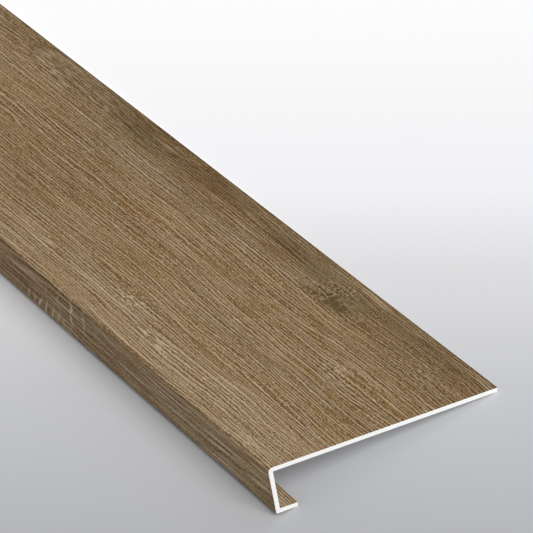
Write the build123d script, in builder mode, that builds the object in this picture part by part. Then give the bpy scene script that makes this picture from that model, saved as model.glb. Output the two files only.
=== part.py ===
"""Wood-look vinyl stair tread: one sheet of rigid vinyl, folded down at the nosing and back under it.

The tread is modelled as it lies on a level floor, show face up: it rests on the edge of its lip and on the
lower edge of its rear side. +X runs along the nosing, +Y to the rear of the step, +Z up, and the origin is on
the floor under the middle of the part. Millimetres.
"""

import math
import os

from build123d import *

# Driving dimensions of the sheet and of its nosing
length = 1200.0         # along the nosing, a length that such treads are sold in
depth = 305.0           # from the front of the nosing to the rear edge, on the show face
thickness = 5.5         # of the sheet, the same all round the section
nosing_height = 62.5    # from the show face down to the underside of the lip, square to the tread
undercut = 10.0         # degrees that the nosing's front leans back under the tread
lip_length = 28.0       # from the corner under the nosing to the edge of the lip
nose_radius = 5.0       # outside of the upper fold
toe_radius = 2.0        # outside of the lower fold
inside_radius = 0.5     # inside of both folds

# Where the show face turns and ends, in the section: X to the rear, Y square to the tread
toe_setback = nosing_height * math.tan(math.radians(undercut))
rear_edge = (depth, 0)
nose_corner = (0, 0)
toe_corner = (toe_setback, -nosing_height)
lip_edge = (toe_setback + lip_length, -nosing_height)

# The tread tips back until the sheet's lower rear edge is as low as the edge of the lip
rest_tilt = math.degrees(math.atan2(nosing_height - thickness, depth - lip_edge[0]))

# Section: the show face's line, made a sheet on its inner side
with BuildSketch() as section:
    with BuildLine():
        Polyline(rear_edge, nose_corner, toe_corner, lip_edge)
        offset(amount=thickness, side=Side.LEFT, kind=Kind.INTERSECTION)
    make_face()
    # At a fold the two nearest points are the show face's corner and the corner inside it
    for corner, outside_radius in ((nose_corner, nose_radius), (toe_corner, toe_radius)):
        fillet(section.vertices().sort_by_distance(corner)[1], radius=inside_radius)
        fillet(section.vertices().sort_by_distance(corner)[0], radius=outside_radius)

# The section as it lies on the floor, centred over the origin
resting_section = section.sketch.rotate(Axis.Z, -rest_tilt)
footprint = resting_section.bounding_box()
end_plane = Plane(
    origin=(-length / 2, -footprint.center().X, -footprint.min.Y),
    x_dir=(0, 1, 0),
    z_dir=(1, 0, 0),
)

# Tread: the section run along the nosing
with BuildPart() as stair_tread:
    with BuildSketch(end_plane):
        add(resting_section)
    extrude(amount=length)

stair_tread.part.label = "stair_tread"
os.makedirs("parts", exist_ok=True)
export_step(stair_tread.part, "parts/stair_tread.step")
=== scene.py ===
"""Dresses a wood-look vinyl stair tread: its printed and embossed oak face, and its bare cut edges.

The tread is in metres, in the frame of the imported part: +X along the nosing, +Y to the rear, +Z up. The
oak's figure is in millimetres on the print laid flat: along from the tread's middle, across from its rear
edge.
"""

import logging
import math
from dataclasses import dataclass, field
from enum import Enum

import bpy
from mathutils import Matrix, Vector


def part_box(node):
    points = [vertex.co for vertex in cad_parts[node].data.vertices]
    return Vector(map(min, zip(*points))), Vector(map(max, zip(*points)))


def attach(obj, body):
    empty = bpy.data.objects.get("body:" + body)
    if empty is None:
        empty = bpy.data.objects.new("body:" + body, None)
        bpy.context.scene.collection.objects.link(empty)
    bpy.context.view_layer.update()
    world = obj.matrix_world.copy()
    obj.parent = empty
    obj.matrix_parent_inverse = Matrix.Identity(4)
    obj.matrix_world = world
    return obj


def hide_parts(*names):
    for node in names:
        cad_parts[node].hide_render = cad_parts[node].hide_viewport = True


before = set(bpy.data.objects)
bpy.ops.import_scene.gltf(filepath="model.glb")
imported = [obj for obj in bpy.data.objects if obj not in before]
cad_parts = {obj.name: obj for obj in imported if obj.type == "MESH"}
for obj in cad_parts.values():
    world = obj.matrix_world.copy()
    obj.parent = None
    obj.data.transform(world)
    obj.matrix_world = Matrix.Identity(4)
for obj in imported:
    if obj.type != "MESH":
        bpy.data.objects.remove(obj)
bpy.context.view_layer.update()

log = logging.getLogger("stair_tread")

MM = 0.001
NODE = "stair_tread"
BODY = "root"

Tree = bpy.types.NodeTree
Socket = bpy.types.NodeSocket
Pair = tuple[float, float]
LaidPoint = tuple[Vector, Vector, bool]

# Settings that many nodes share, and the numbers of the sockets of a node that mixes colours
DOT_PRODUCT = {"operation": "DOT_PRODUCT"}
SMOOTH_STEP = {"interpolation_type": "SMOOTHSTEP"}
COLOURS = {"data_type": "RGBA"}
MIX_SHARE = 0
MIX_UNDER = 6
MIX_OVER = 7
MIX_RESULT = 2

# Middle of a step in a count that climbs from 0 to 1
MID_STEP = 0.5


def linear(hex_colour: str) -> tuple[float, float, float, float]:
    """Turns an sRGB hex colour into Blender's linear colour.

    Args:
        hex_colour: six hex digits with a leading hash.

    Returns:
        Linear red, green and blue, and an alpha of 1.
    """
    shares = [int(hex_colour[i:i + 2], 16) / 255 for i in (1, 3, 5)]
    # The sRGB curve is straight near black and a power above it
    red, green, blue = (c / 12.92 if c <= 0.04045 else ((c + 0.055) / 1.055) ** 2.4 for c in shares)
    return red, green, blue, 1.0


def add_node(
    tree: Tree,
    kind: str,
    settings: dict[str, object] | None = None,
    inputs: dict[str | int, object] | None = None,
) -> bpy.types.Node:
    """Adds a node to a tree, with its settings and links.

    Args:
        tree: the shader or geometry tree.
        kind: Blender's name for the type of node.
        settings: the node's own settings, by name.
        inputs: a value, or the socket of another node, for each input by name or number.

    Returns:
        The new node.
    """
    node = tree.nodes.new(kind)
    for name, value in (settings or {}).items():
        setattr(node, name, value)
    for key, value in (inputs or {}).items():
        if isinstance(value, Socket):
            tree.links.new(value, node.inputs[key])
        else:
            node.inputs[key].default_value = value
    return node


def add_math(tree: Tree, operation: str, *values: Socket | float) -> Socket:
    """Adds a node that works out one number.

    Args:
        tree: the shader or geometry tree.
        operation: Blender's name for what the node does.
        values: the numbers that it takes, or the sockets that give them.

    Returns:
        The socket with the result.
    """
    return add_node(tree, "ShaderNodeMath", {"operation": operation}, dict(enumerate(values))).outputs[0]


class Attribute(Enum):
    """Names of the values that ride on the tread's points."""

    ACROSS = "across"
    OUTWARD = "outward"
    PRINTED = "printed"
    EMBOSS = "emboss"
    PRINT_PLACE = "print_place"


@dataclass(frozen=True)
class Corner:
    """A corner of the section, in the tread's own plane, and whether the run after it is printed."""

    back: float
    up: float
    radius: float
    printed: bool


@dataclass(frozen=True)
class SectionPoint:
    """A point of the outline, with its outward direction and what the surface carries there."""

    back: float
    up: float
    out_back: float
    out_up: float
    across: float
    printed: bool
    emboss: float


@dataclass(frozen=True)
class TreadSection:
    """The tread's section: a sheet folded down at the nosing and back under it."""

    depth: float = 305 * MM
    thickness: float = 5.5 * MM
    nosing_height: float = 62.5 * MM
    undercut: float = math.radians(10)
    lip_length: float = 28 * MM
    nose_radius: float = 5 * MM
    toe_radius: float = 2 * MM
    inside_radius: float = 0.5 * MM
    # Spacing of the points under the print, fewest steps in a fold, and the margin that fades the embossing
    print_pitch: float = 0.75 * MM
    arc_steps: int = 6
    emboss_margin: float = 2 * MM

    def corners(self) -> list[Corner]:
        """Works out the corners, from the rear edge over the show face and back along the underside.

        Returns:
            The corners in order.
        """
        sine, cosine = math.sin(self.undercut), math.cos(self.undercut)
        drop = self.nosing_height
        toe = drop * math.tan(self.undercut)
        inner_nose = self.thickness * (1 + sine) / cosine
        inner_toe = (self.thickness + (drop - self.thickness) * sine) / cosine
        return [
            Corner(self.depth, 0, 0, True),
            Corner(0, 0, self.nose_radius, True),
            Corner(toe, -drop, self.toe_radius, True),
            Corner(toe + self.lip_length, -drop, 0, True),
            Corner(toe + self.lip_length, self.thickness - drop, 0, True),
            Corner(inner_toe, self.thickness - drop, self.inside_radius, False),
            Corner(inner_nose, -self.thickness, self.inside_radius, False),
            Corner(self.depth, -self.thickness, 0, False),
        ]

    def rest_tilt(self) -> float:
        """Gives the angle by which the tread tips back until it rests on its lip and its rear edge."""
        lip_edge = self.nosing_height * math.tan(self.undercut) + self.lip_length
        return math.atan2(self.nosing_height - self.thickness, self.depth - lip_edge)

    def turn(self, before: Corner, here: Corner, after: Corner) -> list[tuple[Vector, Vector]]:
        """Lays the points of one corner, rounded where it has a radius.

        Args:
            before: the corner before it.
            here: the corner itself.
            after: the corner after it.

        Returns:
            Each point and its outward direction.
        """
        at = Vector((here.back, here.up))
        come = (at - Vector((before.back, before.up))).normalized()
        leave = (Vector((after.back, after.up)) - at).normalized()
        if not here.radius:
            out = Vector((come.y + leave.y, -come.x - leave.x)).normalized()
            return [(at, out)]
        side = math.copysign(1, come.cross(leave))
        angle = come.angle(leave)
        start = at - come * here.radius * math.tan(angle / 2)
        centre = start + side * here.radius * Vector((-come.y, come.x))
        steps = max(self.arc_steps, math.ceil(here.radius * angle / self.print_pitch))
        points = []
        for step in range(steps + 1):
            arm = Matrix.Rotation(side * angle * step / steps, 2) @ (start - centre)
            points.append((centre + arm, side * arm.normalized()))
        return points

    def outline(self) -> list[SectionPoint]:
        """Lays the points all round the section, close together where the surface is embossed.

        Returns:
            The points in order, starting at the rear edge of the show face.
        """
        corners = self.corners()
        count = len(corners)
        turns = [self.turn(corners[i - 1], corners[i], corners[(i + 1) % count]) for i in range(count)]
        laid: list[LaidPoint] = []
        for i, points in enumerate(turns):
            before, after = corners[i - 1].printed, corners[i].printed
            last = len(points) - 1
            for step, (place, out) in enumerate(points):
                # A turn's first and last points go with the runs that they end, the others with both
                printed = (before and (after or step == 0)) or (after and step == last)
                laid.append((place, out, printed))
            start = points[last][0]
            run = turns[(i + 1) % count][0][0] - start
            steps = math.ceil(run.length / self.print_pitch) if after else 1
            flat = Vector((run.y, -run.x)).normalized()
            laid += [(start + run * step / steps, flat, after) for step in range(1, steps)]
        edges = [points[0][0] for corner, points in zip(corners, turns) if not corner.radius]
        return self.measured(laid, edges)

    def measured(self, laid: list[LaidPoint], edges: list[Vector]) -> list[SectionPoint]:
        """Adds the distance across the print and the strength of the embossing to each point.

        Args:
            laid: place, outward direction and whether printed, in order.
            edges: the places of the section's sharp edges, where the embossing runs out.

        Returns:
            The finished points.
        """
        points = []
        across = 0.0
        last = laid[0][0]
        for place, out, printed in laid:
            across += (place - last).length
            last = place
            nearest = min((place - edge).length for edge in edges)
            emboss = min(1.0, nearest / self.emboss_margin) if printed else 0.0
            points.append(SectionPoint(*place, *out, across, printed, emboss))
        return points


@dataclass(frozen=True)
class Spot:
    """A soft-edged area of the print: its middle, and its reach along and across, in millimetres."""

    along: float
    across: float
    reach_along: float
    reach_across: float


@dataclass(frozen=True)
class Patchwork:
    """Separate patches along the grain: their length and width in millimetres, and where they fade in.

    The levels are those of the soft random pattern that the patches are cut out of.
    """

    size: Pair
    levels: Pair
    seed: float
    detail: float = 1.0


@dataclass(frozen=True)
class Sway:
    """A sideways drift of the grain: the size of its waves and its reach to each side, in millimetres."""

    waves: Pair
    reach: float
    seed: float


@dataclass(frozen=True)
class LineSet:
    """One set of fine lines in the grain, in millimetres.

    The lines lie a pitch apart, slow clouds push them out of step by up to the swing, in pitches, and other
    clouds break them up. The weight is the set's strength beside the others.
    """

    pitch: float
    swing: float
    swing_size: Pair
    swing_seed: float
    break_size: Pair
    break_seed: float
    weight: float


@dataclass(frozen=True)
class OakFigure:
    """How the oak's grain runs, in millimetres on the print.

    The print's colours and the embossing are both laid out by it, so that they stay in register.
    """

    # How strongly a cloud's finer layers show
    cloud_roughness: float = 0.55
    # A slow meander, a ripple and a fine wiggle
    sways: tuple[Sway, ...] = (
        Sway((260.0, 60.0), 10.0, 3.1),
        Sway((60.0, 14.0), 1.5, 7.7),
        Sway((13.0, 5.0), 1.0, 9.3),
    )
    # Restless grain beside the knot and in the rear corner, each with its reach
    burl_size: Pair = (24.0, 12.0)
    burl_seed: float = 13.9
    burls: tuple[tuple[Spot, float], ...] = (
        (Spot(330.0, 42.0, 48.0, 30.0), 5.0),
        (Spot(550.0, 55.0, 80.0, 45.0), 4.5),
    )
    # Round the knot the grain spreads by this share
    swell: Spot = Spot(352.0, 40.0, 50.0, 30.0)
    swell_share: float = 0.15
    # Oak's pores, 0.2 to 0.3 mm wide, are too fine to show, so the lines are drawn 3 to 4 mm apart
    line_sets: tuple[LineSet, ...] = (
        LineSet(4.2, 1.9, (170.0, 9.0), 17.0, (90.0, 4.6), 57.0, 1.25),
        LineSet(3.2, 2.0, (120.0, 7.0), 19.0, (66.0, 3.7), 59.0, 0.7),
    )
    break_levels: Pair = (0.3, 0.65)
    broken_share: float = 0.35
    # Levels of the summed lines where they turn limed, and where they turn dark
    limed_levels: Pair = (0.35, 0.95)
    dark_levels: Pair = (-0.3, -0.95)
    growth_pitch: float = 9.0
    growth_swing: float = 5.0
    growth_waves: Pair = (420.0, 60.0)
    growth_seed: float = 11.3
    growth_breaks: Patchwork = Patchwork((150.0, 6.0), (0.42, 0.6), 31.0)
    fleck_levels: Pair = (0.53, 0.66)
    # The ragged edge of a blot
    ragged_size: Pair = (14.0, 3.5)
    ragged_seed: float = 57.0
    ragged_levels: Pair = (0.1, 0.32)


class Ink(Enum):
    """Colours of the print: opaque ones, and tints that let the grain show through."""

    TAN = "#836028"
    BROWN = "#74551E"
    DARK = "#492E07"
    GOLD = "#6E5716"
    GREY = "#877660"
    BLEACHED_AND_HIGHLIGHT = "#A28863"
    ASH = "#B39E86"
    PALE = "#B59F83"
    LIMED = "#D6C6AC"
    OLIVE = "#6F603A"
    UMBER = "#594825"
    SAGE = "#7E6E4F"
    SMOKE_TINT = "#C9C0AA"
    OLIVE_TINT = "#B3AE95"
    WARM_TINT = "#FFF2C4"
    BROWN_TINT = "#D6C5A6"


class Press(Enum):
    """How an ink goes over those under it."""

    COVER = "MIX"
    TINT = "MULTIPLY"


@dataclass(frozen=True)
class Stain:
    """A patch of the print in another colour, and how strongly that goes on."""

    spot: Spot
    ink: Ink
    cover: float


@dataclass(frozen=True)
class Flecks:
    """A sprinkle of short marks along the grain: their length and width in millimetres, and their ink."""

    size: Pair
    ink: Ink
    cover: float
    seed: float


@dataclass(frozen=True)
class GrowthLine:
    """A line in each step of the growth: where it lies in the step, how far it fades out, and its ink."""

    middle: float
    fade: float
    ink: Ink
    cover: float


@dataclass(frozen=True)
class Curls:
    """Pale curls round a knot: the ellipse that they follow, where they show, their count and their width.

    Clouds of the stir's size turn them out of the ellipse.
    """

    ellipse: Spot
    shown: Spot
    count: float
    width: float
    cover: float
    stir_size: Pair
    stir_turns: float
    stir_seed: float
    breaks: Patchwork


@dataclass(frozen=True)
class Rays:
    """Pale medullary rays across the grain: where they show, and their lean, pitch and width in mm."""

    spot: Spot
    lean: float
    pitch: float
    width: float
    sway_seed: float
    break_size: Pair
    break_seed: float
    cover: float
    sway_size: Pair = (24.0, 24.0)
    break_levels: Pair = (0.36, 0.52)


@dataclass(frozen=True)
class Layer:
    """One pass of the press: an ink, how it goes on, its strength, and the patterns that hold it back."""

    ink: Ink
    press: Press
    cover: float
    patterns: tuple[Socket, ...]


class GrainNodes:
    """Writes the oak's figure into a tree: the film's shader, or the tree that embosses the sheet."""

    def __init__(self, tree: Tree, figure: OakFigure, metres: Socket) -> None:
        """Starts the figure.

        Args:
            tree: the tree that gets the nodes.
            figure: the sizes of the figure.
            metres: the point's place on the print, in metres.
        """
        self.tree = tree
        self.figure = figure
        self.place = add_node(tree, "ShaderNodeVectorMath", {"operation": "SCALE"}, {
            0: metres, "Scale": 1 / MM,
        }).outputs[0]
        self.flow = self.bent(self.place)
        self.streak = self.streaked(self.flow)
        self.growth = self.counted(self.flow)

    def cloud(self, place: Socket, size: Pair, seed: float, detail: float = 1.0) -> Socket:
        """Adds a soft random pattern.

        Args:
            place: place on the print, in millimetres.
            size: length and width of its blotches, in millimetres.
            seed: fixed number that sets this pattern apart from the others.
            detail: how many finer layers the pattern has.

        Returns:
            The pattern, from 0 to 1 and mostly near a half.
        """
        scaled = add_node(self.tree, "ShaderNodeVectorMath", {"operation": "MULTIPLY_ADD"}, {
            0: place, 1: (1 / size[0], 1 / size[1], 0.0), 2: (seed, -seed, seed),
        })
        return add_node(self.tree, "ShaderNodeTexNoise", None, {
            "Vector": scaled.outputs[0],
            "Scale": 1.0,
            "Detail": detail,
            "Roughness": self.figure.cloud_roughness,
        }).outputs["Fac"]

    def cut(self, pattern: Socket, levels: Pair) -> Socket:
        """Cuts soft-edged areas out of a pattern.

        Args:
            pattern: the pattern.
            levels: where in the pattern an area begins, and where it is full, which may be lower.

        Returns:
            1 in the areas and 0 between them.
        """
        begin, full = levels
        return add_node(self.tree, "ShaderNodeMapRange", SMOOTH_STEP, {
            "Value": pattern, "From Min": begin, "From Max": full,
        }).outputs[0]

    def patches(self, work: Patchwork) -> Socket:
        """Adds separate patches that follow the grain, 1 in each and 0 between them."""
        return self.cut(self.cloud(self.flow, work.size, work.seed, work.detail), work.levels)

    def flecks(self, flecks: Flecks) -> Socket:
        """Adds a sprinkle of marks, 1 in each and 0 between them."""
        return self.patches(Patchwork(flecks.size, self.figure.fleck_levels, flecks.seed))

    def square_away(self, spot: Spot) -> Socket:
        """Measures how far a point is from an area's middle.

        Args:
            spot: the area.

        Returns:
            The square of the distance, where the area's reach counts as 1.
        """
        away = add_node(self.tree, "ShaderNodeVectorMath", {"operation": "SUBTRACT"}, {
            0: self.place, 1: (spot.along, spot.across, 0.0),
        })
        scaled = add_node(self.tree, "ShaderNodeVectorMath", {"operation": "MULTIPLY"}, {
            0: away.outputs[0], 1: (1 / spot.reach_along, 1 / spot.reach_across, 0.0),
        })
        return add_node(self.tree, "ShaderNodeVectorMath", DOT_PRODUCT, {
            0: scaled.outputs[0], 1: scaled.outputs[0],
        }).outputs["Value"]

    def spot(self, spot: Spot) -> Socket:
        """Adds one area of the print, 1 at its middle and 0 well away from it."""
        return add_math(self.tree, "POWER", math.exp(-1), self.square_away(spot))

    def blot(self, spot: Spot) -> Socket:
        """Adds one area with a ragged edge.

        Args:
            spot: the area.

        Returns:
            1 inside it and 0 outside.
        """
        figure = self.figure
        area = self.spot(spot)
        edge = self.cloud(self.flow, figure.ragged_size, figure.ragged_seed)
        return self.cut(add_math(self.tree, "MULTIPLY", area, edge), figure.ragged_levels)

    def curled(self, curls: Curls) -> tuple[Socket, ...]:
        """Lays curls round a knot.

        Args:
            curls: the set.

        Returns:
            The curls' lines, the breaks in them and the area where they show.
        """
        away = add_math(self.tree, "SQRT", self.square_away(curls.ellipse))
        rings = add_math(self.tree, "MULTIPLY", away, curls.count)
        stir = self.cloud(self.place, curls.stir_size, curls.stir_seed)
        stirred = add_math(self.tree, "MULTIPLY_ADD", stir, curls.stir_turns, rings)
        line = self.line(add_math(self.tree, "FRACT", stirred), MID_STEP, curls.width)
        return line, self.patches(curls.breaks), self.spot(curls.shown)

    def band(self, start: float, end: float, fade: float) -> Socket:
        """Adds a band along the print, with a soft step at each side.

        Args:
            start: where it starts across the print, in millimetres.
            end: where it ends, in millimetres.
            fade: width of each soft step, in millimetres.

        Returns:
            1 in the band and 0 off it.
        """
        across = add_node(self.tree, "ShaderNodeSeparateXYZ", None, {0: self.place}).outputs["Y"]
        off = add_math(self.tree, "SUBTRACT", across, (start + end) / 2)
        half = (end - start) / 2
        return self.cut(add_math(self.tree, "ABSOLUTE", off), (half + fade / 2, half - fade / 2))

    def bent(self, place: Socket) -> Socket:
        """Bends straight lines into grain that meanders and parts a little round the knot.

        Args:
            place: place on the print, in millimetres.

        Returns:
            The bent place, in millimetres.
        """
        figure = self.figure
        parts = add_node(self.tree, "ShaderNodeSeparateXYZ", None, {0: place})
        across = parts.outputs["Y"]
        inward = add_math(self.tree, "SUBTRACT", figure.swell.across, across)
        share = add_math(self.tree, "MULTIPLY", self.spot(figure.swell), figure.swell_share)
        across = add_math(self.tree, "MULTIPLY_ADD", inward, share, across)
        # A cloud runs from 0 to 1, so its whole range is twice the reach to each side
        for sway in figure.sways:
            cloud = self.cloud(place, sway.waves, sway.seed)
            across = add_math(self.tree, "MULTIPLY_ADD", cloud, 2 * sway.reach, across)
        for spot, reach in figure.burls:
            stir = add_math(self.tree, "MULTIPLY", self.spot(spot), 2 * reach)
            cloud = self.cloud(place, figure.burl_size, figure.burl_seed)
            across = add_math(self.tree, "MULTIPLY_ADD", cloud, stir, across)
        return add_node(self.tree, "ShaderNodeCombineXYZ", None, {
            "X": parts.outputs["X"], "Y": across,
        }).outputs[0]

    def streaked(self, flow: Socket) -> Socket:
        """Lays the sets of fine lines over each other.

        Args:
            flow: the bent place on the print, in millimetres.

        Returns:
            The sum of the sets, above 0 where the grain is limed and below 0 where it is dark.
        """
        across = add_node(self.tree, "ShaderNodeSeparateXYZ", None, {0: flow}).outputs["Y"]
        begin, full = self.figure.break_levels
        total: Socket | float = 0.0
        for lines in self.figure.line_sets:
            cloud = self.cloud(flow, lines.swing_size, lines.swing_seed)
            swing = add_math(self.tree, "MULTIPLY", cloud, math.tau * lines.swing)
            turn = add_math(self.tree, "MULTIPLY_ADD", across, math.tau / lines.pitch, swing)
            wave = add_math(self.tree, "SINE", turn)
            strength = add_node(self.tree, "ShaderNodeMapRange", SMOOTH_STEP, {
                "Value": self.cloud(flow, lines.break_size, lines.break_seed),
                "From Min": begin,
                "From Max": full,
                "To Min": self.figure.broken_share * lines.weight,
                "To Max": lines.weight,
            })
            total = add_math(self.tree, "MULTIPLY_ADD", wave, strength.outputs[0], total)
        return total

    def counted(self, flow: Socket) -> Socket:
        """Counts the growth lines across the print.

        Args:
            flow: the bent place on the print, in millimetres.

        Returns:
            A value that climbs from 0 to 1 between one growth line and the next.
        """
        figure = self.figure
        across = add_node(self.tree, "ShaderNodeSeparateXYZ", None, {0: flow}).outputs["Y"]
        cloud = self.cloud(flow, figure.growth_waves, figure.growth_seed)
        swing = add_math(self.tree, "MULTIPLY", cloud, figure.growth_swing)
        count = add_math(self.tree, "MULTIPLY_ADD", across, 1 / figure.growth_pitch, swing)
        return add_math(self.tree, "FRACT", count)

    def line(self, count: Socket, middle: float, fade: float) -> Socket:
        """Picks one soft line out of each step of a count.

        Args:
            count: a value that climbs from 0 to 1 in each step.
            middle: where in the step the line lies.
            fade: how far it fades out on each side.

        Returns:
            1 on the line and 0 off it.
        """
        off = add_math(self.tree, "SUBTRACT", count, middle)
        return self.cut(add_math(self.tree, "ABSOLUTE", off), (fade, 0.0))

    def growth_line(self, line: GrowthLine) -> Socket:
        """Adds a line in each step of the growth, 1 on it and 0 off it."""
        return self.line(self.growth, line.middle, line.fade)

    def crossing(self, rays: Rays) -> tuple[Socket, ...]:
        """Lays one set of rays across the grain.

        Args:
            rays: the set.

        Returns:
            The rays' lines, the breaks in them and the area where they show.
        """
        slant = add_node(self.tree, "ShaderNodeVectorMath", DOT_PRODUCT, {
            0: self.place, 1: (1 / rays.pitch, rays.lean / rays.pitch, 0.0),
        })
        sway = self.cloud(self.place, rays.sway_size, rays.sway_seed)
        swayed = add_math(self.tree, "ADD", slant.outputs["Value"], sway)
        line = self.line(add_math(self.tree, "FRACT", swayed), MID_STEP, rays.width / rays.pitch)
        breaks = self.cut(self.cloud(self.place, rays.break_size, rays.break_seed), rays.break_levels)
        return line, breaks, self.spot(rays.spot)


@dataclass(frozen=True)
class OakDecorFilm:
    """Printed vinyl film under a matt embossed wear layer, with a print of brushed oak with limed pores."""

    figure: OakFigure = field(default_factory=OakFigure)
    ior: float = 1.5
    # Share of the mirror reflection that the embossing leaves, where 0.5 is all that the IOR gives
    gloss: float = 0.2
    roughness: float = 0.62
    # The two broad tones, and the patchy strength of the stains
    tone: Patchwork = Patchwork((240.0, 22.0), (0.32, 0.68), 21.0, 2.0)
    mottle: Patchwork = Patchwork((110.0, 15.0), (0.15, 0.5), 23.0, 2.0)
    # A grey stretch, a paler front, the paler near end of the drop, painted light on the inside of the lip,
    # and a painted highlight along the top just behind the nose
    covers: tuple[Stain, ...] = (
        Stain(Spot(0.0, 68.0, 180.0, 12.0), Ink.GREY, 0.4),
        Stain(Spot(520.0, 275.0, 260.0, 50.0), Ink.BLEACHED_AND_HIGHLIGHT, 0.5),
        Stain(Spot(0.0, 275.0, 900.0, 40.0), Ink.BLEACHED_AND_HIGHLIGHT, 0.28),
        Stain(Spot(560.0, 340.0, 150.0, 28.0), Ink.ASH, 0.8),
        # Painted light: the inside of the lip, shaded by the tread above it, is printed paler so that it
        # reads as lit
        Stain(Spot(0.0, 415.0, 5000.0, 20.0), Ink.PALE, 0.75),
        # Painted highlight: a pale band just behind the nose, strongest towards the near end
        Stain(Spot(300.0, 296.0, 500.0, 9.0), Ink.BLEACHED_AND_HIGHLIGHT, 0.5),
    )
    # Darker stretches: along the rear edge, round the knot, in the middle and on the drop, and painted
    # shade along the nose
    tints: tuple[Stain, ...] = (
        Stain(Spot(-60.0, 5.0, 280.0, 46.0), Ink.SMOKE_TINT, 0.9),
        Stain(Spot(-500.0, 0.0, 250.0, 34.0), Ink.SMOKE_TINT, 0.35),
        Stain(Spot(520.0, 22.0, 200.0, 48.0), Ink.SMOKE_TINT, 0.75),
        Stain(Spot(322.0, 42.0, 30.0, 30.0), Ink.SMOKE_TINT, 0.6),
        Stain(Spot(40.0, 24.0, 70.0, 26.0), Ink.BROWN_TINT, 0.75),
        Stain(Spot(222.0, 26.0, 70.0, 24.0), Ink.OLIVE_TINT, 0.6),
        Stain(Spot(-130.0, 22.0, 60.0, 18.0), Ink.OLIVE_TINT, 0.6),
        # Painted shade: a thin darker line on the nose, where the top turns down into the drop
        Stain(Spot(0.0, 306.0, 5000.0, 2.5), Ink.BROWN_TINT, 0.6),
        Stain(Spot(0.0, 0.0, 5000.0, 2.0), Ink.SMOKE_TINT, 1.0),
        Stain(Spot(-140.0, 150.0, 240.0, 110.0), Ink.BROWN_TINT, 0.25),
        Stain(Spot(20.0, 342.0, 320.0, 38.0), Ink.BROWN_TINT, 0.6),
    )
    knot: tuple[Stain, ...] = (
        Stain(Spot(356.0, 38.0, 28.0, 23.0), Ink.OLIVE, 0.6),
        Stain(Spot(348.0, 54.0, 27.0, 9.0), Ink.UMBER, 0.85),
        Stain(Spot(283.0, 32.0, 24.0, 15.0), Ink.SAGE, 0.5),
    )
    curls: tuple[Curls, ...] = (
        Curls(
            ellipse=Spot(378.0, 50.0, 24.0, 15.0),
            shown=Spot(364.0, 44.0, 20.0, 13.0),
            count=1.8,
            width=0.2,
            cover=0.7,
            stir_size=(9.0, 7.0),
            stir_turns=1.8,
            stir_seed=58.0,
            breaks=Patchwork((9.0, 5.0), (0.38, 0.55), 59.0),
        ),
    )
    # Short pores all over the print, drawn as coarse as they need to show in the render
    speckle: tuple[Flecks, ...] = (
        Flecks((10.0, 1.6), Ink.DARK, 0.65, 41.0),
        Flecks((10.0, 1.6), Ink.PALE, 0.55, 43.0),
        Flecks((3.4, 1.3), Ink.DARK, 0.85, 45.0),
        Flecks((3.4, 1.3), Ink.LIMED, 0.46, 47.0),
    )
    dark_cover: float = 0.56
    limed_cover: float = 0.38
    growth_lines: tuple[GrowthLine, ...] = (
        GrowthLine(0.64, 0.15, Ink.DARK, 0.35),
        GrowthLine(0.45, 0.14, Ink.PALE, 0.75),
    )
    # Crowded marks: at the knot, along the rear edge, at the front, near the end and in the rear corner
    crowds: tuple[tuple[Spot, Flecks], ...] = (
        (Spot(322.0, 38.0, 26.0, 27.0), Flecks((3.4, 3.2), Ink.DARK, 0.9, 83.0)),
        (Spot(322.0, 38.0, 26.0, 27.0), Flecks((3.4, 3.2), Ink.LIMED, 0.75, 81.0)),
        (Spot(336.0, 24.0, 16.0, 9.0), Flecks((3.4, 3.2), Ink.LIMED, 0.8, 81.0)),
        (Spot(336.0, 24.0, 16.0, 9.0), Flecks((3.4, 3.2), Ink.DARK, 0.8, 83.0)),
        (Spot(430.0, 9.0, 280.0, 5.0), Flecks((110.0, 2.4), Ink.LIMED, 0.95, 109.0)),
        (Spot(430.0, 12.0, 280.0, 5.0), Flecks((110.0, 2.4), Ink.DARK, 0.9, 111.0)),
        (Spot(212.0, 246.0, 32.0, 12.0), Flecks((6.0, 2.8), Ink.LIMED, 0.8, 85.0)),
        (Spot(100.0, 262.0, 110.0, 6.0), Flecks((60.0, 2.4), Ink.LIMED, 0.75, 101.0)),
        (Spot(300.0, 270.0, 34.0, 9.0), Flecks((24.0, 2.2), Ink.LIMED, 0.8, 103.0)),
        (Spot(285.0, 268.0, 34.0, 9.0), Flecks((20.0, 2.2), Ink.DARK, 0.7, 105.0)),
        (Spot(545.0, 290.0, 24.0, 8.0), Flecks((10.0, 2.2), Ink.LIMED, 0.7, 107.0)),
        (Spot(475.0, 131.0, 26.0, 16.0), Flecks((6.0, 3.0), Ink.LIMED, 0.6, 87.0)),
        (Spot(470.0, 147.0, 55.0, 9.0), Flecks((16.0, 2.4), Ink.DARK, 0.8, 89.0)),
        (Spot(-250.0, 26.0, 330.0, 26.0), Flecks((28.0, 2.8), Ink.LIMED, 0.5, 113.0)),
        (Spot(-250.0, 26.0, 330.0, 26.0), Flecks((28.0, 2.8), Ink.DARK, 0.6, 115.0)),
        (Spot(530.0, 52.0, 80.0, 32.0), Flecks((3.4, 2.4), Ink.PALE, 0.8, 90.0)),
        (Spot(530.0, 52.0, 80.0, 32.0), Flecks((3.4, 2.4), Ink.DARK, 0.7, 92.0)),
    )
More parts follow.
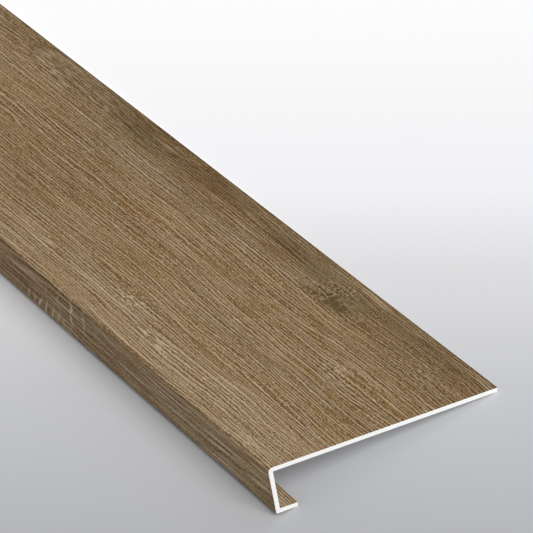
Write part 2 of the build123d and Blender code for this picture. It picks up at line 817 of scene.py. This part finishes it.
    # The drop, from under the nose to the toe, has a straighter, stripier cut of the oak
    drop_from: float = 308.0
    drop_to: float = 374.0
    drop_fade: float = 12.0
    drop_lines: tuple[GrowthLine, ...] = (
        GrowthLine(0.2, 0.2, Ink.PALE, 0.5),
        GrowthLine(0.7, 0.22, Ink.DARK, 0.6),
    )
    drop_tint: Ink = Ink.WARM_TINT
    drop_flecks: tuple[Flecks, ...] = (
        Flecks((170.0, 4.4), Ink.GOLD, 0.9, 91.0),
        Flecks((150.0, 3.0), Ink.ASH, 0.85, 93.0),
        Flecks((110.0, 1.9), Ink.DARK, 1.0, 95.0),
        Flecks((3.6, 1.3), Ink.DARK, 1.0, 121.0),
        Flecks((110.0, 1.9), Ink.LIMED, 0.7, 97.0),
        Flecks((3.6, 1.3), Ink.PALE, 0.6, 123.0),
    )
    rays: tuple[Rays, ...] = (
        Rays(Spot(165.0, 326.0, 45.0, 18.0), 0.2, 29.0, 2.6, 61.0, (14.0, 20.0), 62.0, 0.9),
        Rays(Spot(100.0, 356.0, 46.0, 11.0), 0.5, 14.5, 2.6, 63.0, (16.0, 24.0), 64.0, 0.9),
    )

    def layers(self, grain: GrainNodes) -> list[Layer]:
        """Lists the passes of the press, from the broad tones to the finest marks.

        Args:
            grain: the figure's patterns in the film's tree.

        Returns:
            The layers in the order that they are printed in.
        """
        cover, tint = Press.COVER, Press.TINT
        figure = self.figure
        mottle = grain.patches(self.mottle)
        breaks = grain.patches(figure.growth_breaks)
        drop = grain.band(self.drop_from, self.drop_to, self.drop_fade)
        return [
            *(Layer(s.ink, cover, s.cover, (grain.spot(s.spot), mottle)) for s in self.covers),
            *(Layer(f.ink, cover, f.cover, (grain.flecks(f),)) for f in self.speckle),
            Layer(Ink.DARK, cover, self.dark_cover, (grain.cut(grain.streak, figure.dark_levels),)),
            Layer(Ink.LIMED, cover, self.limed_cover, (grain.cut(grain.streak, figure.limed_levels),)),
            *(Layer(g.ink, cover, g.cover, (grain.growth_line(g), breaks)) for g in self.growth_lines),
            *(Layer(s.ink, cover, s.cover, (grain.blot(s.spot),)) for s in self.knot),
            *(Layer(Ink.PALE, cover, c.cover, grain.curled(c)) for c in self.curls),
            *(Layer(f.ink, cover, f.cover, (grain.flecks(f), grain.spot(at))) for at, f in self.crowds),
            *(Layer(g.ink, cover, g.cover, (grain.growth_line(g), drop)) for g in self.drop_lines),
            Layer(self.drop_tint, tint, 1.0, (drop,)),
            *(Layer(f.ink, cover, f.cover, (grain.flecks(f), drop)) for f in self.drop_flecks),
            *(Layer(s.ink, tint, s.cover, (grain.spot(s.spot), mottle)) for s in self.tints),
            *(Layer(Ink.LIMED, cover, r.cover, grain.crossing(r)) for r in self.rays),
        ]

    def printed_colour(self, tree: Tree, grain: GrainNodes) -> Socket:
        """Prints the oak, one layer over the other.

        Args:
            tree: the film's tree.
            grain: the figure's patterns in that tree.

        Returns:
            The finished colour.
        """
        colour = add_node(tree, "ShaderNodeMix", COLOURS, {
            MIX_SHARE: grain.patches(self.tone),
            MIX_UNDER: linear(Ink.BROWN.value),
            MIX_OVER: linear(Ink.TAN.value),
        }).outputs[MIX_RESULT]
        for layer in self.layers(grain):
            share: Socket | float = layer.cover
            for pattern in layer.patterns:
                share = add_math(tree, "MULTIPLY", pattern, share)
            colour = add_node(tree, "ShaderNodeMix", COLOURS | {"blend_type": layer.press.value}, {
                MIX_SHARE: share, MIX_UNDER: colour, MIX_OVER: linear(layer.ink.value),
            }).outputs[MIX_RESULT]
        return colour

    def material(self) -> bpy.types.Material:
        """Makes the film's material.

        Returns:
            The material, laid out by the points' place on the print.
        """
        # It gives the eye a warm mid brown, streaked by pale and dark lines, with hardly any gloss; a
        # painted highlight and painted shade at the nose and painted light inside the lip are printed in as
        # well
        made = bpy.data.materials.new("oak_decor_vinyl_film")
        made.use_nodes = True
        tree = made.node_tree
        shader = tree.nodes["Principled BSDF"]
        shader.inputs["IOR"].default_value = self.ior
        shader.inputs["Specular IOR Level"].default_value = self.gloss
        shader.inputs["Roughness"].default_value = self.roughness
        place = add_node(tree, "ShaderNodeAttribute", {"attribute_name": Attribute.PRINT_PLACE.value})
        grain = GrainNodes(tree, self.figure, place.outputs["Vector"])
        tree.links.new(self.printed_colour(tree, grain), shader.inputs["Base Color"])
        return made


@dataclass(frozen=True)
class RigidVinylCore:
    """Filled rigid vinyl, rolled into a sheet and sawn at the ends."""

    white: str = "#F2F2F0"
    mottle: str = "#EBEBE8"
    mottle_size: float = 9 * MM
    mottle_detail: float = 4.0
    ior: float = 1.53
    roughness: float = 0.5

    def material(self) -> bpy.types.Material:
        """Makes the core's material.

        Returns:
            The material, mottled by object coordinates.
        """
        # It gives the eye an even near-white with a dull surface, mottled so faintly that it hardly shows
        made = bpy.data.materials.new("rigid_vinyl_core")
        made.use_nodes = True
        tree = made.node_tree
        shader = tree.nodes["Principled BSDF"]
        shader.inputs["IOR"].default_value = self.ior
        shader.inputs["Roughness"].default_value = self.roughness
        where = add_node(tree, "ShaderNodeTexCoord")
        noise = add_node(tree, "ShaderNodeTexNoise", None, {
            "Vector": where.outputs["Object"], "Scale": 1 / self.mottle_size, "Detail": self.mottle_detail,
        })
        colour = add_node(tree, "ShaderNodeMix", COLOURS, {
            MIX_SHARE: noise.outputs["Fac"],
            MIX_UNDER: linear(self.white),
            MIX_OVER: linear(self.mottle),
        })
        tree.links.new(colour.outputs[MIX_RESULT], shader.inputs["Base Color"])
        return made


@dataclass
class StairTread:
    """The tread itself: the section run along the nosing, with the grain pressed into its printed side."""

    section: TreadSection = field(default_factory=TreadSection)
    film: OakDecorFilm = field(default_factory=OakDecorFilm)
    core: RigidVinylCore = field(default_factory=RigidVinylCore)
    # Rows of faces along the nosing
    rows: int = 150
    emboss_depth: float = 0.18 * MM
    sharp_angle: float = math.radians(32)
    # A face carries the film where all its points are printed, so where their mean is above this
    film_level: float = 0.999

    def profile(self) -> bpy.types.Object:
        """Makes the section as it lies on the floor, a line whose points carry what the sweep needs.

        Returns:
            The line's object, with the section in its XY plane.
        """
        outline = self.section.outline()
        turn = Matrix.Rotation(-self.section.rest_tilt(), 2)
        places = [turn @ Vector((p.back, p.up)) for p in outline]
        outward = [turn @ Vector((p.out_back, p.out_up)) for p in outline]
        low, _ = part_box(NODE)
        shift = Vector((low.y - min(p.x for p in places), low.z - min(p.y for p in places)))
        count = len(outline)
        mesh = bpy.data.meshes.new("tread_section")
        mesh.from_pydata(
            [(*(place + shift), 0.0) for place in places],
            [(i, (i + 1) % count) for i in range(count)],
            [],
        )
        values = {
            Attribute.ACROSS: [p.across for p in outline],
            Attribute.PRINTED: [float(p.printed) for p in outline],
            Attribute.EMBOSS: [p.emboss for p in outline],
        }
        for name, numbers in values.items():
            mesh.attributes.new(name.value, "FLOAT", "POINT").data.foreach_set("value", numbers)
        ways = mesh.attributes.new(Attribute.OUTWARD.value, "FLOAT_VECTOR", "POINT")
        ways.data.foreach_set("vector", [part for out in outward for part in (0.0, out.x, out.y)])
        made = bpy.data.objects.new("tread_section", mesh)
        bpy.context.scene.collection.objects.link(made)
        return made

    def sweep_tree(self) -> bpy.types.GeometryNodeTree:
        """Builds the tree that runs the section along the nosing, embosses it and gives it its materials.

        Returns:
            The tree, with its sizes and materials as named inputs.
        """
        tree = bpy.data.node_groups.new("tread_sweep", "GeometryNodeTree")
        sockets = (
            ("Section", "INPUT", "NodeSocketGeometry"),
            ("Length", "INPUT", "NodeSocketFloat"),
            ("Rows", "INPUT", "NodeSocketInt"),
            ("Emboss Depth", "INPUT", "NodeSocketFloat"),
            ("Film", "INPUT", "NodeSocketMaterial"),
            ("Core", "INPUT", "NodeSocketMaterial"),
            ("Tread", "OUTPUT", "NodeSocketGeometry"),
        )
        for name, way, kind in sockets:
            tree.interface.new_socket(name=name, in_out=way, socket_type=kind)
        given = add_node(tree, "NodeGroupInput").outputs
        sheet = self.embossed(tree, given, self.swept(tree, given))
        sheet = add_node(tree, "GeometryNodeSetShadeSmooth", {"domain": "FACE"}, {
            "Geometry": sheet,
        }).outputs[0]
        angle = add_node(tree, "GeometryNodeInputMeshEdgeAngle").outputs["Unsigned Angle"]
        sharp = add_node(tree, "FunctionNodeCompare", {"operation": "GREATER_THAN"}, {
            0: angle, 1: self.sharp_angle,
        })
        sheet = add_node(tree, "GeometryNodeSetShadeSmooth", {"domain": "EDGE"}, {
            "Geometry": sheet, "Selection": sharp.outputs[0], "Shade Smooth": False,
        }).outputs[0]
        sheet = add_node(tree, "GeometryNodeRealizeInstances", None, {"Geometry": sheet}).outputs[0]
        sheet = add_node(tree, "GeometryNodeSetMaterial", None, {
            "Geometry": sheet, "Material": given["Core"],
        }).outputs[0]
        printed = add_node(tree, "GeometryNodeInputNamedAttribute", {"data_type": "FLOAT"}, {
            "Name": Attribute.PRINTED.value,
        })
        filmed = add_node(tree, "FunctionNodeCompare", {"operation": "GREATER_THAN"}, {
            0: printed.outputs["Attribute"], 1: self.film_level,
        })
        sheet = add_node(tree, "GeometryNodeSetMaterial", None, {
            "Geometry": sheet, "Selection": filmed.outputs[0], "Material": given["Film"],
        }).outputs[0]
        add_node(tree, "NodeGroupOutput", None, {"Tread": sheet})
        return tree

    def swept(self, tree: Tree, given: bpy.types.NodeOutputs) -> Socket:
        """Runs the section along the nosing and closes both ends.

        Args:
            tree: the sweep's tree.
            given: the tree's inputs.

        Returns:
            The plain sheet.
        """
        curve = add_node(tree, "GeometryNodeMeshToCurve", None, {"Mesh": given["Section"]})
        end = add_node(tree, "ShaderNodeCombineXYZ", None, {"Z": given["Length"]})
        path = add_node(tree, "GeometryNodeCurvePrimitiveLine", None, {"End": end.outputs[0]})
        points = add_math(tree, "ADD", given["Rows"], 1.0)
        path = add_node(tree, "GeometryNodeResampleCurve", None, {
            "Curve": path.outputs[0], "Count": points,
        })
        sheet = add_node(tree, "GeometryNodeCurveToMesh", None, {
            "Curve": path.outputs[0], "Profile Curve": curve.outputs[0], "Fill Caps": True,
        })
        half = add_math(tree, "MULTIPLY", given["Length"], -0.5)
        start = add_node(tree, "ShaderNodeCombineXYZ", None, {"X": half})
        # The sweep ran up +Z from a section in XY: it is turned to run along +X from a section in YZ
        return add_node(tree, "GeometryNodeTransform", None, {
            "Geometry": sheet.outputs[0],
            "Translation": start.outputs[0],
            "Rotation": (math.pi / 2, 0.0, math.pi / 2),
        }).outputs[0]

    def embossed(self, tree: Tree, given: bpy.types.NodeOutputs, sheet: Socket) -> Socket:
        """Notes each point's place on the print and presses the grain into the sheet there.

        Args:
            tree: the sweep's tree.
            given: the tree's inputs.
            sheet: the plain sheet.

        Returns:
            The embossed sheet.
        """
        kinds = {
            Attribute.ACROSS: "FLOAT",
            Attribute.EMBOSS: "FLOAT",
            Attribute.OUTWARD: "FLOAT_VECTOR",
            Attribute.PRINT_PLACE: "FLOAT_VECTOR",
        }
        carried = {
            name: add_node(tree, "GeometryNodeInputNamedAttribute", {"data_type": kind}, {
                "Name": name.value,
            }).outputs["Attribute"]
            for name, kind in kinds.items()
        }
        where = add_node(tree, "ShaderNodeSeparateXYZ", None, {
            0: add_node(tree, "GeometryNodeInputPosition").outputs[0],
        })
        place = add_node(tree, "ShaderNodeCombineXYZ", None, {
            "X": where.outputs["X"], "Y": carried[Attribute.ACROSS],
        })
        noted = add_node(
            tree, "GeometryNodeStoreNamedAttribute", {"data_type": "FLOAT_VECTOR", "domain": "POINT"},
            {"Geometry": sheet, "Name": Attribute.PRINT_PLACE.value, "Value": place.outputs[0]},
        )
        figure = self.film.figure
        grain = GrainNodes(tree, figure, carried[Attribute.PRINT_PLACE])
        dark = grain.cut(grain.streak, figure.dark_levels)
        groove = add_math(tree, "MULTIPLY", dark, carried[Attribute.EMBOSS])
        inward = add_math(tree, "MULTIPLY", given["Emboss Depth"], -1.0)
        press = add_math(tree, "MULTIPLY", groove, inward)
        offset = add_node(tree, "ShaderNodeVectorMath", {"operation": "SCALE"}, {
            0: carried[Attribute.OUTWARD], "Scale": press,
        })
        return add_node(tree, "GeometryNodeSetPosition", None, {
            "Geometry": noted.outputs[0], "Offset": offset.outputs[0],
        }).outputs[0]

    def build(self) -> bpy.types.Object:
        """Sweeps the section into a plain mesh and sets it in place of the CAD solid.

        Returns:
            The finished piece.
        """
        low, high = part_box(NODE)
        line = self.profile()
        tree = self.sweep_tree()
        modifier = line.modifiers.new("sweep", "NODES")
        modifier.node_group = tree
        values = {
            "Length": high.x - low.x,
            "Rows": self.rows,
            "Emboss Depth": self.emboss_depth,
            "Film": self.film.material(),
            "Core": self.core.material(),
        }
        for item in tree.interface.items_tree:
            if item.name in values:
                modifier[item.identifier] = values[item.name]
        swept = line.evaluated_get(bpy.context.evaluated_depsgraph_get())
        mesh = bpy.data.meshes.new_from_object(swept)
        mesh.name = "tread_sheet"
        # The line and its modifier go, and of the values on the points the print's place alone stays
        bpy.data.objects.remove(line)
        for name in (Attribute.ACROSS, Attribute.OUTWARD, Attribute.PRINTED, Attribute.EMBOSS):
            mesh.attributes.remove(mesh.attributes[name.value])
        piece = bpy.data.objects.new("tread_sheet", mesh)
        bpy.context.scene.collection.objects.link(piece)
        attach(piece, BODY)
        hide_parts(NODE)
        return piece


@dataclass(frozen=True)
class StudioPaper:
    """Uncoated seamless paper, with painted shade: grey near the camera, running to white behind the tread.
    """

    roughness: float = 0.9
    gloss: float = 0.0
    shade_toward: tuple[float, float, float] = (-0.687, 0.727, 0.0)
    shade_start: float = -0.55
    shade_end: float = 0.45
    # Painted shade over the floor, from grey near the camera to white beyond
    painted_shades: tuple[tuple[float, str], ...] = (
        (0.0, "#B8B9BC"), (0.25, "#CACBCE"), (0.47, "#E1E1E3"), (0.62, "#F4F4F7"), (1.0, "#FFFFFF"),
    )

    def material(self) -> bpy.types.Material:
        """Makes the paper's material.

        Returns:
            The material, shaded by object coordinates.
        """
        # It gives the eye a flat ground with no shine at all, which takes a soft shadow, with painted shade
        # from grey near the camera to white beyond
        made = bpy.data.materials.new("studio_paper")
        made.use_nodes = True
        tree = made.node_tree
        shader = tree.nodes["Principled BSDF"]
        shader.inputs["Roughness"].default_value = self.roughness
        shader.inputs["Specular IOR Level"].default_value = self.gloss
        where = add_node(tree, "ShaderNodeTexCoord")
        far = add_node(tree, "ShaderNodeVectorMath", DOT_PRODUCT, {
            0: where.outputs["Object"], 1: self.shade_toward,
        })
        share = add_node(tree, "ShaderNodeMapRange", None, {
            "Value": far.outputs["Value"], "From Min": self.shade_start, "From Max": self.shade_end,
        })
        ramp = add_node(tree, "ShaderNodeValToRGB", None, {"Fac": share.outputs[0]})
        stops = ramp.color_ramp.elements
        # A new ramp has two stops, so the rest are added
        for at, _ in self.painted_shades[2:]:
            stops.new(at)
        for stop, (at, shade) in zip(stops, self.painted_shades):
            stop.position = at
            stop.color = linear(shade)
        tree.links.new(ramp.outputs["Color"], shader.inputs["Base Color"])
        return made


@dataclass(frozen=True)
class Studio:
    """A pale paper floor, soft light all round with a key over the near end, and the camera."""

    paper: StudioPaper = field(default_factory=StudioPaper)
    # The camera's place and its lens in mm, fitted to the photo; the roll makes up for the tread's tilt
    aim: tuple[float, float, float] = (0.2341, 0.0786, 0.0207)
    distance: float = 4.674
    azimuth: float = math.radians(64.637)
    elevation: float = math.radians(36.323)
    roll: float = math.radians(-12.982)
    lens: float = 268.07
    floor_half: float = 8.0
    sky: str = "#FFFFFF"
    sky_strength: float = 0.43
    key: str = "#FFFFFF"
    key_strength: float = 2.6
    key_from: tuple[float, float, float] = (0.75, 0.06, 0.66)
    key_spread: float = math.radians(40)

    def camera(self) -> bpy.types.Object:
        """Sets the camera at the photo's viewing angle.

        Returns:
            The camera's object.
        """
        ground = math.cos(self.elevation)
        back = Vector((
            math.sin(self.azimuth) * ground, -math.cos(self.azimuth) * ground, math.sin(self.elevation),
        ))
        level = Vector((0, 0, 1)).cross(back).normalized()
        upright = back.cross(level)
        right = level * math.cos(self.roll) + upright * math.sin(self.roll)
        up = back.cross(right)
        lens = bpy.data.cameras.new("camera")
        lens.lens = self.lens
        made = bpy.data.objects.new("camera", lens)
        place = Matrix.Translation(Vector(self.aim) + back * self.distance)
        made.matrix_world = place @ Matrix((right, up, back)).transposed().to_4x4()
        bpy.context.scene.collection.objects.link(made)
        bpy.context.scene.camera = made
        return made

    def floor(self) -> bpy.types.Object:
        """Lays the floor.

        Returns:
            The floor's object.
        """
        mesh = bpy.data.meshes.new("floor")
        reach = self.floor_half
        corners = [(-reach, -reach, 0), (reach, -reach, 0), (reach, reach, 0), (-reach, reach, 0)]
        mesh.from_pydata(corners, [], [(0, 1, 2, 3)])
        mesh.materials.append(self.paper.material())
        made = bpy.data.objects.new("floor", mesh)
        bpy.context.scene.collection.objects.link(made)
        return made

    def light(self) -> bpy.types.Object:
        """Lights the tread evenly from all round, with a soft key over its near end.

        Returns:
            The key lamp's object.
        """
        world = bpy.data.worlds.new("studio")
        bpy.context.scene.world = world
        world.use_nodes = True
        sky = world.node_tree.nodes["Background"]
        sky.inputs["Color"].default_value = linear(self.sky)
        sky.inputs["Strength"].default_value = self.sky_strength
        lamp = bpy.data.lights.new("key", "SUN")
        lamp.color = linear(self.key)[:3]
        lamp.energy = self.key_strength
        lamp.angle = self.key_spread
        made = bpy.data.objects.new("key", lamp)
        made.rotation_euler = Vector(self.key_from).to_track_quat("Z", "Y").to_euler()
        bpy.context.scene.collection.objects.link(made)
        return made


def main() -> None:
    """Builds the tread and the studio round it, and logs the tread's face count and each studio piece."""
    logging.basicConfig(level=logging.INFO, format="%(message)s")
    bpy.context.scene.view_settings.view_transform = "Standard"
    tread = StairTread().build()
    log.info("%s: %d faces", tread.name, len(tread.data.polygons))
    studio = Studio()
    for made in (studio.camera(), studio.floor(), studio.light()):
        log.info("%s: set up", made.name)


if __name__ == "__main__":
    main()
